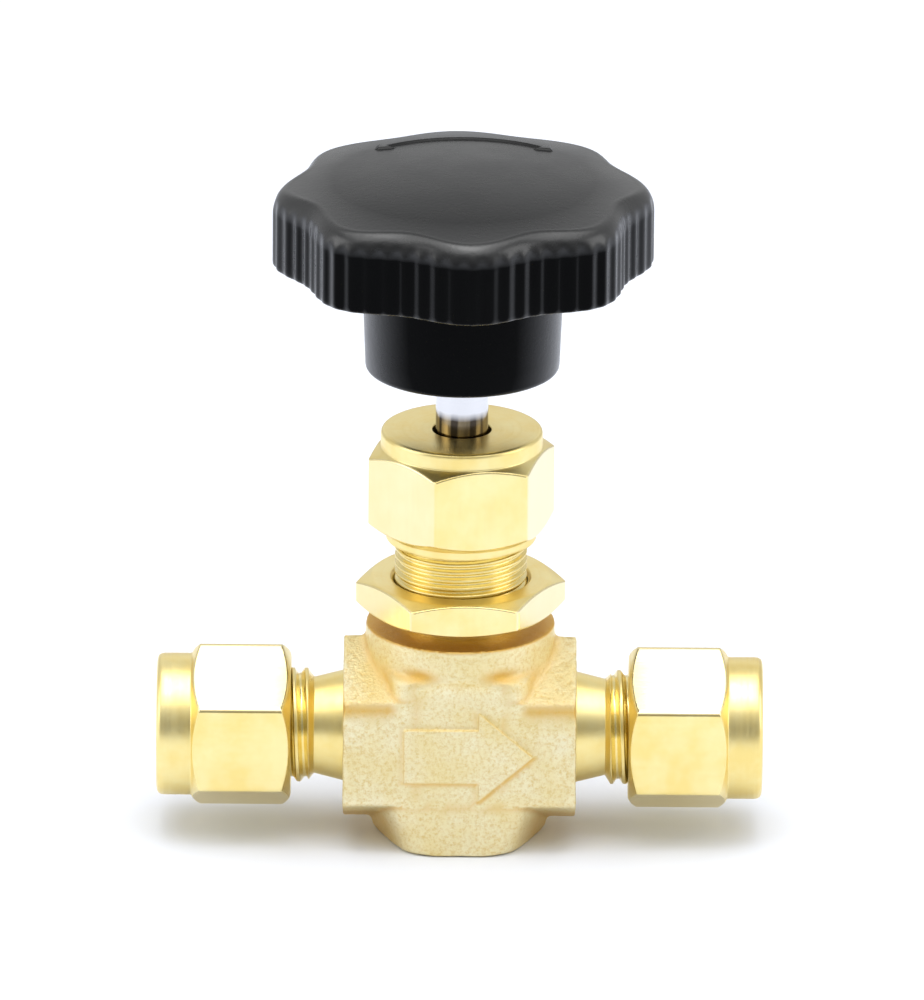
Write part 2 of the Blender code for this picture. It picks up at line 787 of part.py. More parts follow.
def make_handle_insert(material, parent):
    """A brass bush in the hub, open at both ends for the stem."""
    bore = STEM_RADIUS + REST_GAP
    outline = [
        (bore, INSERT_TOP_Z),
        (INSERT_RADIUS, INSERT_TOP_Z),
        (INSERT_RADIUS, INSERT_BOTTOM_Z),
        (bore, INSERT_BOTTOM_Z),
    ]
    insert = turned("handle_insert", outline)
    combine(insert, "DIFFERENCE", set_screw_cutter())
    return finish(insert, material, parent)


def make_set_screw(material, parent):
    """A grub screw across the hub, along local +Z, with a hexagon socket in its outer end."""
    start = STEM_RADIUS + REST_GAP
    end = HUB_RADIUS - SET_SCREW_INSET
    screw = cylinder("set_screw", SET_SCREW_RADIUS, start, end, SMALL_SIDES)
    socket = cylinder(
        "screw_socket",
        SET_SCREW_SOCKET_RADIUS,
        end - SET_SCREW_SOCKET_DEPTH,
        end + CUTTER_OVERRUN,
        sides=6,
    )
    combine(screw, "DIFFERENCE", socket)
    for obj in (screw, socket):
        obj.location = (0.0, 0.0, SET_SCREW_Z)
        obj.rotation_euler = (-math.pi / 2, 0.0, 0.0)
    return finish(screw, material, parent)


def make_end(prefix, side, material):
    """The ferrules and the nut of one tube end, on an empty on the tube axis."""
    axis = axis_empty(prefix + "_axis", (0.0, 0.0, TUBE_AXIS_Z), side * math.pi / 2)
    make_ferrules(prefix, material, axis)
    make_tube_nut(prefix + "_nut", side, material, axis)


def main():
    forged = make_material("forged_brass", (0.80, 0.66, 0.38), 0.55, 1.0)
    machined = make_material("machined_brass", (0.86, 0.70, 0.36), 0.22, 1.0)
    steel = make_material("stainless_steel", (0.72, 0.72, 0.73), 0.18, 1.0)
    phenolic = make_material("black_phenolic", (0.02, 0.022, 0.025), 0.42, 0.0)
    ptfe = make_material("ptfe", (0.90, 0.90, 0.88), 0.5, 0.0)

    make_body(forged)
    gland_bottom_z = make_packing(ptfe, steel)
    stem_axis = axis_empty("stem_axis", (0.0, 0.0, 0.0))
    nut_axis = axis_empty("bonnet_axis", (0.0, 0.0, 0.0))
    make_gland(gland_bottom_z, machined, nut_axis)
    make_packing_nut(machined, nut_axis)
    make_panel_nut(machined, nut_axis)
    make_stem_tip(steel, stem_axis)
    make_stem(steel, stem_axis)
    make_handle(phenolic, stem_axis)
    make_handle_insert(machined, stem_axis)
    make_set_screw(steel, stem_axis)
    make_end("inlet", -1, machined)
    make_end("outlet", 1, machined)


clear_scene()
valve = new_collection("needle_valve")
cutters = new_collection("cutters")
main()
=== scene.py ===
import math

import bmesh
import bpy
import numpy as np
import openvdb
from mathutils import Matrix, Vector


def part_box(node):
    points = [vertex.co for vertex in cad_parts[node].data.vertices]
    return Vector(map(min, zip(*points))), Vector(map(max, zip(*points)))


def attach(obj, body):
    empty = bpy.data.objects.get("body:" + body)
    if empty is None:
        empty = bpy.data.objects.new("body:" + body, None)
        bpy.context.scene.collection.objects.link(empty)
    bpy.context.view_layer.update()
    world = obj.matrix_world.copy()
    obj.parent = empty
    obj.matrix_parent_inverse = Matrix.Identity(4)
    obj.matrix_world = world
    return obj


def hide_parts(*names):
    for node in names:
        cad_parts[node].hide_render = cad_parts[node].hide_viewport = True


# Looks of a brass needle valve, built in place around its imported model. Metres, +Z up, flow along +X.

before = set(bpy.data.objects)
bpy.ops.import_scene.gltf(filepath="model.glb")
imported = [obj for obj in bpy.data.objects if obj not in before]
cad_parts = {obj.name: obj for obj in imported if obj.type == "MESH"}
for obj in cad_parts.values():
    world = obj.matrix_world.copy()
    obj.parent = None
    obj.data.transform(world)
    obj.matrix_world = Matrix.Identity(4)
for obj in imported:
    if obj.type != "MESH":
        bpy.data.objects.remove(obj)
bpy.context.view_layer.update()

MM = 0.001

# Driving places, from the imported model
BODY_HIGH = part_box("body")[1]
NUT_LOW, NUT_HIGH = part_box("outlet_nut")
PACKING_NUT_LOW, PACKING_NUT_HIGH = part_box("packing_nut")
PANEL_NUT_LOW, PANEL_NUT_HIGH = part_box("panel_nut")
HANDLE_LOW, HANDLE_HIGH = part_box("handle")
STEM_LOW, STEM_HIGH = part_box("stem")
INSERT_LOW, INSERT_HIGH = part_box("handle_insert")
SCREW_LOW, SCREW_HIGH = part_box("set_screw")
GLAND_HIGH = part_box("packing_gland")[1]
WASHER_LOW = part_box("packing_support")[0]
TUBE_AXIS_Z = (NUT_LOW.z + NUT_HIGH.z) / 2
FITTING_END = BODY_HIGH.x

# Forging
WING_END = 0.0111
WING_RIDGE = 0.00915
WING_FLAT_HALF = 0.0052
FLAT_Y = 0.0083
PAD_Y = 0.0084
PAD_HALF = 0.00605
LOW_PAD_HALF = 0.0078
PAD_TOP_Z = 0.0179
COLUMN_HALF = 0.0089
BASE_HALF = 0.0085
BASE_CORNER_HEIGHT = 0.0046
NECK_RADIUS = 0.0090
SHOULDER_Z = 0.0210
VOXEL = 0.000125

# Drilled ways inside the body
STEM_BORE_RADIUS = 0.0040
CHAMBER_RADIUS = 0.0045
SEAT_Z = 0.0070
ORIFICE_RADIUS = 0.0017
ORIFICE_BOTTOM_Z = 0.0020
OUTLET_RADIUS = 0.0022
INLET_RADIUS = 0.0015
INLET_LEVEL_END = 0.0085
INLET_SLOPE_START = 0.0100
INLET_LOW_Z = 0.0032
INLET_FALL = 0.0054

# Corners of the hexagons
NUT_CHAMFER = math.radians(30)
PANEL_NUT_CHAMFER = math.radians(24)

# Threads
NUT_PITCH = 0.00127
BONNET_PITCH = 0.00079375
STEM_PITCH = 0.0009071
BONNET_RADIUS = 0.0063
FITTING_THREAD_RADIUS = 0.00545

# Painted light: how much paler each of a hexagon's six milled flats is painted, as if it caught more light
FLAT_PAINTED_LIGHT = (0.1, 0.75, 0.35, 0.5, 0.0, 0.5)

# Knob
LOBES = 8
RIBS = 64
LOBE_PHASE = math.radians(3.0)
LOBE_DEPTH = 0.0015
RIB_DEPTH = 0.00022
HUB_RADIUS = 0.0092
SKIRT_BOTTOM_Z = 0.05685
SKIRT_TOP_Z = 0.0622
SHOULDER_DEPTH = 0.0017
CROWN_DROP = 0.0019
RECESS_ROOF_Z = 0.0610
INSERT_HOLE_TOP_Z = 0.0621


# ---------- meshes ----------

def mesh_object(name, points, faces):
    """A mesh object in the scene, from points and faces."""
    mesh = bpy.data.meshes.new(name)
    mesh.from_pydata(points, [], faces)
    mesh.update()
    obj = bpy.data.objects.new(name, mesh)
    bpy.context.scene.collection.objects.link(obj)
    return obj


def smooth(obj, angle=35):
    """Smooth shading, with edges sharper than the angle kept crisp."""
    obj.data.shade_smooth()
    obj.data.set_sharp_from_angle(angle=math.radians(angle))


def softened(corners, steps=4):
    """An outline of (radius, height, softness) corners, each rounded off over its softness."""
    corners = [np.array(corner, float) for corner in corners]
    outline = []
    for i, corner in enumerate(corners):
        point, soft = corner[:2], corner[2]
        if soft == 0:
            outline.append(point)
            continue
        arms = []
        for other in (corners[i - 1][:2], corners[(i + 1) % len(corners)][:2]):
            reach = np.linalg.norm(other - point)
            arms.append(point + (other - point) / reach * min(soft, reach * 0.49))
        for share in np.linspace(0, 1, steps + 1):
            start, bend, end = (1 - share) ** 2, 2 * share * (1 - share), share ** 2
            outline.append(start * arms[0] + bend * point + end * arms[1])
    return np.array(outline)


def dense(outline, spacing, beyond=0.0, closed=True):
    """Adds points to the stretches of an outline whose radius is over a limit."""
    finer = []
    count = len(outline)
    for i in range(count if closed else count - 1):
        start, end = outline[i], outline[(i + 1) % count]
        pieces = 1
        if min(start[0], end[0]) >= beyond:
            pieces = max(1, math.ceil(np.linalg.norm(end - start) / spacing))
        finer += [start + (end - start) * step / pieces for step in range(pieces)]
    if not closed:
        finer.append(outline[-1])
    return np.array(finer)


def turned(name, outline, sides=128, shape=None, closed=True, flats_turn=None):
    """Turns an outline that runs down its outer side about Z. An open one has its ends on the axis.

    shape(angle, radius, height) gives new radii. How far it cut is kept as the attribute "cut", in mm.
    On a hexagon with a corner at flats_turn, how much paler each flat is painted, as painted light, is kept
    as a point attribute.
    """
    angle = np.arange(sides)[None, :] * 2 * math.pi / sides
    radius = np.repeat(outline[:, :1], sides, axis=1)
    height = np.repeat(outline[:, 1:2], sides, axis=1)
    marks = {}
    if shape is not None:
        shaped = shape(angle, radius, height)
        marks["cut"] = (radius - shaped) / MM
        radius = shaped
    if flats_turn is not None:
        side = np.floor((angle - flats_turn) / (math.pi / 3)).astype(int) % 6
        marks["flat_light"] = np.repeat(np.array(FLAT_PAINTED_LIGHT)[side], len(outline), axis=0)
    grid = np.stack([radius * np.cos(angle), radius * np.sin(angle), height], axis=-1)
    return skinned(name, grid, closed, marks)


def skinned(name, grid, closed=True, marks=None):
    """A closed skin over rings of points. With closed off, the end rings are points on the axis."""
    rows, sides = grid.shape[:2]
    row = np.arange(rows - 1 + closed)[:, None]
    side = np.arange(sides)[None, :]
    below = (row + 1) % rows
    beside = (side + 1) % sides
    quads = np.stack(
        [row * sides + side, below * sides + side, below * sides + beside, row * sides + beside], axis=-1
    ).reshape(-1, 4)
    points = grid.reshape(-1, 3)
    faces = quads.tolist()
    if not closed:
        last = (rows - 1) * sides
        faces = []
        for quad in quads.tolist():
            merged = [0 if v < sides else last if v >= last else v for v in quad]
            faces.append(list(dict.fromkeys(merged)))
    obj = mesh_object(name, points.tolist(), faces)
    for key, values in (marks or {}).items():
        mark(obj, key, values)
    if not closed:
        drop_loose(obj)
    return obj


def mark(obj, name, values):
    """Keeps one value for each point of a mesh, for its material to read."""
    layer = obj.data.attributes.new(name, "FLOAT", "POINT")
    layer.data.foreach_set("value", values.reshape(-1).astype(np.float32))


def drop_loose(obj):
    """Removes the points that belong to no face."""
    shape = bmesh.new()
    shape.from_mesh(obj.data)
    loose = [vert for vert in shape.verts if not vert.link_faces]
    bmesh.ops.delete(shape, geom=loose, context="VERTS")
    shape.to_mesh(obj.data)
    shape.free()


def soft_min(a, b, width):
    """The smaller distance, which joins two shapes with a fillet of that width."""
    share = np.clip(0.5 + 0.5 * (b - a) / width, 0, 1)
    return b + (a - b) * share - width * share * (1 - share)


def soft_max(a, b, width):
    """The larger distance, which keeps two shapes' overlap and rounds its edge."""
    return -soft_min(-a, -b, width)


def hexagonal(flats, turn, edge=0.00022):
    """Radii limited to a hexagon across those flats, with one corner at the turn angle."""

    def shape(angle, radius, height):
        side = math.pi / 3
        to_corner = np.abs((angle - turn + side / 2) % side - side / 2)
        near = flats / 2 / np.cos(side / 2 - to_corner)
        far = flats / 2 / np.cos(side / 2 + to_corner)
        return soft_min(radius, soft_min(near, far, edge), edge)

    return shape


def threaded(crest, pitch, low, high, depth=0.38, flat=0.15):
    """Radii with a right-hand thread cut into the crest radius between two heights.

    depth is a share of the pitch, and flat the share of the pitch that stays at the crest.
    """

    def shape(angle, radius, height):
        turn = (height / pitch - angle / (2 * math.pi)) % 1.0
        rise = np.abs(turn * 2 - 1)
        groove = np.clip((rise - flat) / (0.9 - flat), 0, 1)
        groove = groove * groove * (3 - 2 * groove)
        fade = np.clip(np.minimum(height - low, high - height) / (0.5 * pitch), 0, 1)
        outer = radius > crest - depth * pitch * 0.5
        return radius - outer * depth * pitch * groove * fade

    return shape


def lay_along_flow(obj, side):
    """Turns a piece made along +Z to point along the flow (side +1) or against it (-1)."""
    obj.data.transform(
        Matrix.Translation((0, 0, TUBE_AXIS_Z)) @ Matrix.Rotation(side * math.pi / 2, 4, "Y")
    )
    return obj


def place(obj, body, slot, material, *nodes):
    """Shades a piece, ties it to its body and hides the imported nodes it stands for."""
    smooth(obj)
    obj.data.materials.clear()
    obj.data.materials.append(material)
    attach(obj, body)
    if nodes:
        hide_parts(*nodes)
    return obj


# ---------- materials ----------

def node(tree, kind, inputs=None, **settings):
    """A new shader node. Each input is a value or another node's output."""
    made = tree.nodes.new("ShaderNode" + kind)
    for key, value in settings.items():
        setattr(made, key, value)
    for key, value in (inputs or {}).items():
        if isinstance(value, bpy.types.NodeSocket):
            tree.links.new(value, made.inputs[key])
        else:
            made.inputs[key].default_value = value
    return made


def ramp(tree, value, low, high, start=0.0, end=1.0):
    """A value carried from the range low..high to start..end."""
    return node(tree, "MapRange", {0: value, 1: low, 2: high, 3: start, 4: end}).outputs[0]


def mixed(tree, share, a, b):
    return node(tree, "Mix", {0: share, 6: a, 7: b}, data_type="RGBA").outputs[2]


def noise(tree, place_socket, scale, detail=2.0, roughness=0.5):
    return node(
        tree, "TexNoise", {"Vector": place_socket, "Scale": scale, "Detail": detail, "Roughness": roughness}
    ).outputs["Fac"]


def math_node(tree, operation, a, b=0.0):
    return node(tree, "Math", {0: a, 1: b}, operation=operation).outputs[0]


def new_material(name):
    """A new node material, with its tree, its shader and its object coordinates."""
    material = bpy.data.materials.new(name)
    material.use_nodes = True
    tree = material.node_tree
    shader = tree.nodes["Principled BSDF"]
    coords = node(tree, "TexCoord").outputs["Object"]
    return material, tree, shader, coords


def bumped(tree, height, distance, strength=1.0, normal=None):
    inputs = {"Height": height, "Distance": distance, "Strength": strength}
    if normal is not None:
        inputs["Normal"] = normal
    return node(tree, "Bump", inputs).outputs["Normal"]


def polar(tree, coords, axis):
    """Distance from the piece's axis, and place along it, as sockets."""
    parts = node(tree, "SeparateXYZ", {0: coords})
    x, y, z = parts.outputs
    if axis == "Z":
        return math_node(tree, "POWER", math_node(tree, "ADD", square(tree, x), square(tree, y)), 0.5), z
    across = math_node(tree, "SUBTRACT", z, TUBE_AXIS_Z)
    return math_node(tree, "POWER", math_node(tree, "ADD", square(tree, across), square(tree, y)), 0.5), x


def square(tree, value):
    return math_node(tree, "MULTIPLY", value, value)


def machined_brass(name, axis):
    """Bright brass: rings from the lathe, fine drawn lines on a hexagon's flats, and each flat painted paler
    as painted light.
    """
    material, tree, shader, coords = new_material(name)
    radius, along = polar(tree, coords, axis)
    rings = node(tree, "CombineXYZ", {0: radius, 1: along, 2: 0.0}).outputs[0]
    lathe = noise(tree, rings, 5200.0, 3.0, 0.6)
    stretch = (1.0, 1.0, 0.03) if axis == "Z" else (0.03, 1.0, 1.0)
    drawn_place = node(tree, "VectorMath", {0: coords, 1: stretch}, operation="MULTIPLY").outputs[0]
    drawn = noise(tree, drawn_place, 2600.0, 3.0, 0.6)
    cut = node(tree, "Attribute", attribute_name="cut").outputs["Fac"]
    on_flat = ramp(tree, cut, 0.01, 0.05)
    marks = node(tree, "Mix", {0: on_flat, 2: lathe, 3: drawn}, data_type="FLOAT").outputs[0]
    cloud = noise(tree, coords, 260.0, 3.0, 0.6)
    tint = mixed(tree, ramp(tree, cloud, 0.35, 0.65), (0.90, 0.71, 0.26, 1.0), (0.93, 0.79, 0.37, 1.0))
    # Painted light: each flat is mixed towards a paler brass by how much light it is painted as catching.
    flat_light = node(tree, "Attribute", attribute_name="flat_light").outputs["Fac"]
    tint = mixed(tree, math_node(tree, "MULTIPLY", flat_light, on_flat), tint, (0.91, 0.82, 0.56, 1.0))
    tree.links.new(tint, shader.inputs["Base Color"])
    shader.inputs["Metallic"].default_value = 1.0
    turned_rough = ramp(tree, marks, 0.3, 0.7, 0.28, 0.40)
    flat_rough = ramp(tree, marks, 0.3, 0.7, 0.18, 0.27)
    rough = node(tree, "Mix", {0: on_flat, 2: turned_rough, 3: flat_rough}, data_type="FLOAT").outputs[0]
    tree.links.new(rough, shader.inputs["Roughness"])
    tree.links.new(bumped(tree, marks, 0.000006, 0.8), shader.inputs["Normal"])
    return material


def forged_brass():
    """Bright-dipped forged brass with a sandy grain, ochre in the grain's darker specks, and ochre painted
    shade in its creases and shaded places.
    """
    material, tree, shader, coords = new_material("forged_brass_skin")
    grain = noise(tree, coords, 2600.0, 4.0, 0.75)
    lumps = noise(tree, coords, 1100.0, 2.0, 0.5)
    cloud = noise(tree, coords, 260.0, 3.0, 0.6)
    tint = mixed(tree, ramp(tree, cloud, 0.35, 0.65), (0.92, 0.79, 0.43, 1.0), (0.97, 0.89, 0.61, 1.0))
    tint = mixed(tree, ramp(tree, grain, 0.34, 0.56, 0.8, 0.0), tint, (0.80, 0.61, 0.24, 1.0))
    # Painted shade: the point attribute read here darkens the brass towards ochre where it is shaded, stirred
    # with the grain.
    painted_shade = node(tree, "Attribute", attribute_name="painted_shade").outputs["Fac"]
    shade_and_grain = ramp(tree, math_node(tree, "ADD", painted_shade, math_node(tree, "SUBTRACT", grain, 0.5)), 0.1, 0.9)
    tint = mixed(tree, math_node(tree, "MULTIPLY", shade_and_grain, 0.9), tint, (0.78, 0.47, 0.09, 1.0))
    tree.links.new(tint, shader.inputs["Base Color"])
    shader.inputs["Metallic"].default_value = 1.0
    tree.links.new(ramp(tree, grain, 0.3, 0.7, 0.46, 0.34), shader.inputs["Roughness"])
    coarse = bumped(tree, lumps, 0.00006, 0.8)
    tree.links.new(bumped(tree, grain, 0.00015, 1.0, coarse), shader.inputs["Normal"])
    return material


def phenolic():
    """Black moulded phenolic with a fine satin texture, duller on the gripping sides."""
    material, tree, shader, coords = new_material("phenolic_moulded")
    z = node(tree, "SeparateXYZ", {0: coords}).outputs["Z"]
    grain = noise(tree, coords, 2400.0, 3.0, 0.6)
    flow = noise(tree, coords, 160.0, 4.0, 0.6)
    tint = mixed(tree, flow, (0.0020, 0.0021, 0.0022, 1.0), (0.0036, 0.0038, 0.0040, 1.0))
    tree.links.new(tint, shader.inputs["Base Color"])
    facing = node(tree, "LayerWeight", {"Blend": 0.5}).outputs["Facing"]
    side = ramp(tree, facing, 0.22, 0.62, 0.03, 0.48)
    crown = ramp(tree, z, HANDLE_HIGH.z - 1.7 * MM, HANDLE_HIGH.z - 0.9 * MM, 0.80, 0.22)
    share = ramp(tree, z, SKIRT_TOP_Z + 0.2 * MM, SKIRT_TOP_Z + 1.2 * MM)
    gloss = node(tree, "Mix", {0: share, 2: side, 3: crown}, data_type="FLOAT").outputs[0]
    tree.links.new(gloss, shader.inputs["Specular IOR Level"])
    tree.links.new(ramp(tree, flow, 0.3, 0.7, 0.24, 0.32), shader.inputs["Roughness"])
    tree.links.new(bumped(tree, grain, 0.00002, 0.8), shader.inputs["Normal"])
    return material


def polished_steel():
    material, tree, shader, coords = new_material("polished_steel")
    radius, along = polar(tree, coords, "Z")
    rings = node(tree, "CombineXYZ", {0: radius, 1: along, 2: 0.0}).outputs[0]
    marks = noise(tree, rings, 7000.0, 2.0, 0.6)
    tint = mixed(tree, marks, (0.66, 0.66, 0.68, 1.0), (0.80, 0.80, 0.81, 1.0))
    stretch = node(tree, "VectorMath", {0: coords, 1: (1.0, 1.0, 0.06)}, operation="MULTIPLY").outputs[0]
    streaks = noise(tree, stretch, 800.0, 2.0, 0.6)
    height = math_node(tree, "ADD", along, math_node(tree, "MULTIPLY", streaks, 0.4 * MM))
    # Painted reflection: just above the packing nut the stem is painted dark brown with vertical streaks,
    # standing in for the dark collar and knob underside it reflects.
    painted_reflection = ramp(tree, height, PACKING_NUT_HIGH.z + 1.7 * MM, PACKING_NUT_HIGH.z + 2.5 * MM, 0.97, 0.0)
    reflection_tint = mixed(tree, ramp(tree, streaks, 0.42, 0.58), (0.035, 0.024, 0.012, 1.0), (0.32, 0.25, 0.14, 1.0))
    tint = mixed(tree, painted_reflection, tint, reflection_tint)
    tree.links.new(tint, shader.inputs["Base Color"])
    shader.inputs["Metallic"].default_value = 1.0
    tree.links.new(ramp(tree, marks, 0.3, 0.7, 0.12, 0.2), shader.inputs["Roughness"])
    tree.links.new(bumped(tree, marks, 0.000003, 0.6), shader.inputs["Normal"])
    return material


def packing_ptfe():
    material, tree, shader, coords = new_material("packing_ptfe")
    cloud = noise(tree, coords, 900.0, 3.0, 0.6)
    tint = mixed(tree, cloud, (0.82, 0.82, 0.80, 1.0), (0.92, 0.92, 0.90, 1.0))
    tree.links.new(tint, shader.inputs["Base Color"])
    tree.links.new(ramp(tree, cloud, 0.3, 0.7, 0.45, 0.6), shader.inputs["Roughness"])
    return material


# ---------- body ----------

def polygon_distance(x, z, corners):
    """Signed distance to a polygon in the flat of the front face, negative inside."""
    nearest = np.full(np.broadcast(x, z).shape, 1.0)
    inside = np.zeros(nearest.shape, bool)
    for (ax, az), (bx, bz) in zip(corners, corners[1:] + corners[:1]):
        ex, ez = bx - ax, bz - az
        share = np.clip(((x - ax) * ex + (z - az) * ez) / (ex * ex + ez * ez), 0, 1)
        nearest = np.minimum(nearest, np.hypot(x - ax - ex * share, z - az - ez * share))
        crosses = ((az > z) != (bz > z)) & (x < ax + ex * (z - az) / (ez if ez else 1e-12))
        inside ^= crosses
    return np.where(inside, -nearest, nearest)


def half_space(normal, through, x, y, z):
    """Signed distance to a plane, given an outward direction and a point on it."""
    scale = math.sqrt(sum(part * part for part in normal))
    nx, ny, nz = (part / scale for part in normal)
    return nx * (x - through[0]) + ny * (y - through[1]) + nz * (z - through[2])


def forging_shapes(x, y, z):
    """Signed distances to the forging's wings, column and neck."""
    ax, ay = np.abs(x), np.abs(y)
    up = z - TUBE_AXIS_Z
    facet = (0, WING_RIDGE - WING_FLAT_HALF, FLAT_Y)
    wings = soft_max(ay - FLAT_Y, half_space(facet, (0, 0, WING_RIDGE), 0, ay, np.abs(up)), 0.5 * MM)
    wings = soft_max(wings, ax - WING_END, 0.25 * MM)

    side = half_space((PAD_Y, COLUMN_HALF - PAD_HALF, 0), (COLUMN_HALF, 0, 0), ax, ay, 0)
    corner = half_space((0.838, 0.414, -0.355), (BASE_HALF + 0.30 * MM, 0, 0), ax, ay, z)
    low_side = half_space((PAD_Y, COLUMN_HALF - LOW_PAD_HALF, 0), (COLUMN_HALF, 0, 0), ax, ay, 0)
    lower = np.clip((TUBE_AXIS_Z - z) / WING_FLAT_HALF, 0, 1)
    column = soft_max(ay - PAD_Y, side * (1 - lower) + low_side * lower, 1.6 * MM)
    column = soft_max(column, corner, 2.4 * MM)
    column = soft_max(column, z - PAD_TOP_Z, 0.7 * MM)
    column = soft_max(column, -z, 0.5 * MM)

    neck = soft_max(np.hypot(x, y) - NECK_RADIUS, TUBE_AXIS_Z - 4 * MM - z, 1.0 * MM)
    proud = np.clip((z - PAD_TOP_Z) / (1.6 * MM) + 1, 0, 1) ** 2 * (NECK_RADIUS - PAD_Y + 0.3 * MM) - 0.3 * MM
    neck = np.maximum(neck, ay - PAD_Y - proud - (z > PAD_TOP_Z) * MM)
    return wings, column, neck


def arrow_distance(x, z):
    """Signed distance to the flow arrow's outline on the front and back faces."""
    half, head = 2.7 * MM, 4.5 * MM
    tail, barb, tip = -5.3 * MM, 1.8 * MM, 7.0 * MM
    lower = [(tail, -half), (barb, -half), (barb, -head)]
    upper = [(barb, head), (barb, half), (tail, half)]
    outline = lower + [(tip, 0)] + upper
    return polygon_distance(x, z - TUBE_AXIS_Z, outline)


def facet_groove(x, y, z):
    """Share of a shallow groove along the upper edge of each wing's flat face."""
    up = z - TUBE_AXIS_Z - WING_FLAT_HALF + 0.75 * MM
    beside = np.clip((np.abs(x) - 5.6 * MM) / MM, 0, 1)
    return np.exp(-(up / (0.75 * MM)) ** 2) * beside * (np.abs(y) > 0.85 * FLAT_Y)


def pad_marks(x, y, z):
    """Share of two short hollows where the pad's top corners meet the neck."""
    across = (np.abs(x) - 3.8 * MM) / (1.7 * MM)
    up = (z - PAD_TOP_Z - 0.3 * MM) / (0.65 * MM)
    return np.exp(-across ** 2 - up ** 2) * (np.abs(y) > 0.6 * PAD_Y)


def drilled_ways(x, y, z):
    """Signed distance to the stem's bore, the seat's orifice and the ways to both sockets."""
    up = z - TUBE_AXIS_Z
    bore = np.maximum(np.hypot(x, y) - STEM_BORE_RADIUS, SEAT_Z - z)
    orifice = np.maximum(np.hypot(x, y) - ORIFICE_RADIUS, ORIFICE_BOTTOM_Z - z)
    outlet = np.maximum(np.hypot(y, up) - OUTLET_RADIUS, -x)
    inlet = np.maximum(np.hypot(y, up) - INLET_RADIUS, x + INLET_LEVEL_END)
    slope = math.hypot(WING_END, INLET_FALL)
    across = ((z - INLET_LOW_Z) * WING_END + x * INLET_FALL) / slope
    sloped = np.maximum(np.hypot(y, across) - INLET_RADIUS, np.maximum(x, -INLET_SLOPE_START - x))
    ways = np.minimum(np.minimum(bore, orifice), outlet)
    return np.minimum(np.minimum(ways, inlet), sloped)


def forging_distance(x, y, z):
    """Signed distance to the forging, with its raised flow arrow and its drilled ways."""
    wings, column, neck = forging_shapes(x, y, z)
    ay = np.abs(y)
    block = soft_min(wings, column, 0.45 * MM)
    block = soft_min(block, neck, 0.6 * MM)
    raised = soft_max(arrow_distance(x, z), ay - PAD_Y - 0.43 * MM, 0.14 * MM)
    raised = np.maximum(raised, 6 * MM - ay)
    block = soft_min(block, raised, 0.08 * MM)
    block = block + MM * (0.12 * facet_groove(x, y, z) + 0.20 * pad_marks(x, y, z))
    block = block + forging_waves(x, y, z)
    block = np.maximum(np.maximum(block, z - SHOULDER_Z), -z)
    return np.maximum(block, -drilled_ways(x, y, z))


def forging_painted_shade(x, y, z):
    """How much ochre painted shade a point of the surface gets, from 0 to 1: in creases and grooves, beside
    the arrow, low down and under the panel nut.
    """
    wings, column, neck = forging_shapes(x, y, z)
    ay, up = np.abs(y), z - TUBE_AXIS_Z
    by_neck = (1 - np.maximum(neck, np.minimum(wings, column)) / (0.9 * MM)) * (np.abs(x) > 4 * MM)
    by_column = (1 - np.maximum(wings, column) / (0.6 * MM)) * (np.abs(up) > WING_FLAT_HALF)
    outline = arrow_distance(x, z)
    # Painted shade beside the arrow, heavier along its lower edge, which faces down.
    beside = 1 - np.abs(outline - 0.2 * MM) / (0.42 * MM)
    below = (arrow_distance(x, z - 0.2 * MM) - arrow_distance(x, z + 0.2 * MM)) / (0.4 * MM)
    beside = beside * (ay > 0.9 * PAD_Y) * np.clip(0.35 + 0.65 * below, 0.2, 1)
    # Painted shade low down, on the base's corners and the wings' lower facets.
    outer = np.clip((np.abs(x) - 4.5 * MM) / (3 * MM), 0, 1)
    under = np.clip((BASE_CORNER_HEIGHT - z) / (2.5 * MM), 0, 1) * outer
    under = np.maximum(under, np.clip(-(up + 6.4 * MM) / (1.5 * MM), 0, 1) * (np.abs(x) > 7 * MM))
    # Painted shade in the creases and grooves, and a painted shadow along the neck's top under the panel nut.
    creases = np.maximum(np.clip(by_neck, 0, 1) * 0.6, np.clip(by_column, 0, 1) * 0.7)
    marks = np.maximum(facet_groove(x, y, z) * 0.8, pad_marks(x, y, z))
    marks = np.maximum(marks, np.clip((z - SHOULDER_Z) / (0.2 * MM) + 1.2, 0, 1))
    return np.maximum(np.maximum(creases, marks), np.maximum(np.clip(beside, 0, 1), under * 0.5))


def forging_waves(x, y, z):
    """A slight unevenness, as on any hammered surface."""
    waves = np.sin(x * 1700 + 1.3) * np.sin(y * 1500 + 0.4) * np.sin(z * 1600 + 2.0)
    finer = np.sin(x * 4100 + z * 2300) * np.sin(y * 3900 + x * 1100 + 0.7) * np.sin(z * 4300 + 0.2)
    return 0.022 * MM * waves + 0.012 * MM * finer


def make_forging(material):
    """The body's forged block, skinned from its distance field."""
    margin = 4 * VOXEL
    low = np.array([-WING_END, -WING_RIDGE, 0.0]) - margin
    high = np.array([WING_END, WING_RIDGE, SHOULDER_Z]) + margin
    count = np.ceil((high - low) / VOXEL).astype(int) + 1
    x = (low[0] + VOXEL * np.arange(count[0]))[:, None, None]
    y = (low[1] + VOXEL * np.arange(count[1]))[None, :, None]
    z = (low[2] + VOXEL * np.arange(count[2]))[None, None, :]
    distance = np.broadcast_to(forging_distance(x, y, z), tuple(count)).astype(np.float32) / VOXEL
    distance = np.clip(distance, -3.0, 3.0)
    grid = openvdb.FloatGrid(3.0)
    grid.copyFromArray(np.ascontiguousarray(distance))
    points, triangles, quads = grid.convertToPolygons(isovalue=0.0, adaptivity=0.02)
    points = points * VOXEL + low
    faces = [face[::-1] for face in triangles.tolist()] + [face[::-1] for face in quads.tolist()]
    obj = mesh_object("body_forging", points.tolist(), faces)
    # The painted shade is kept as a point attribute for the material.
    mark(obj, "painted_shade", forging_painted_shade(*points.T))
    return place(obj, "valve_body", "forged_brass", material, "body")


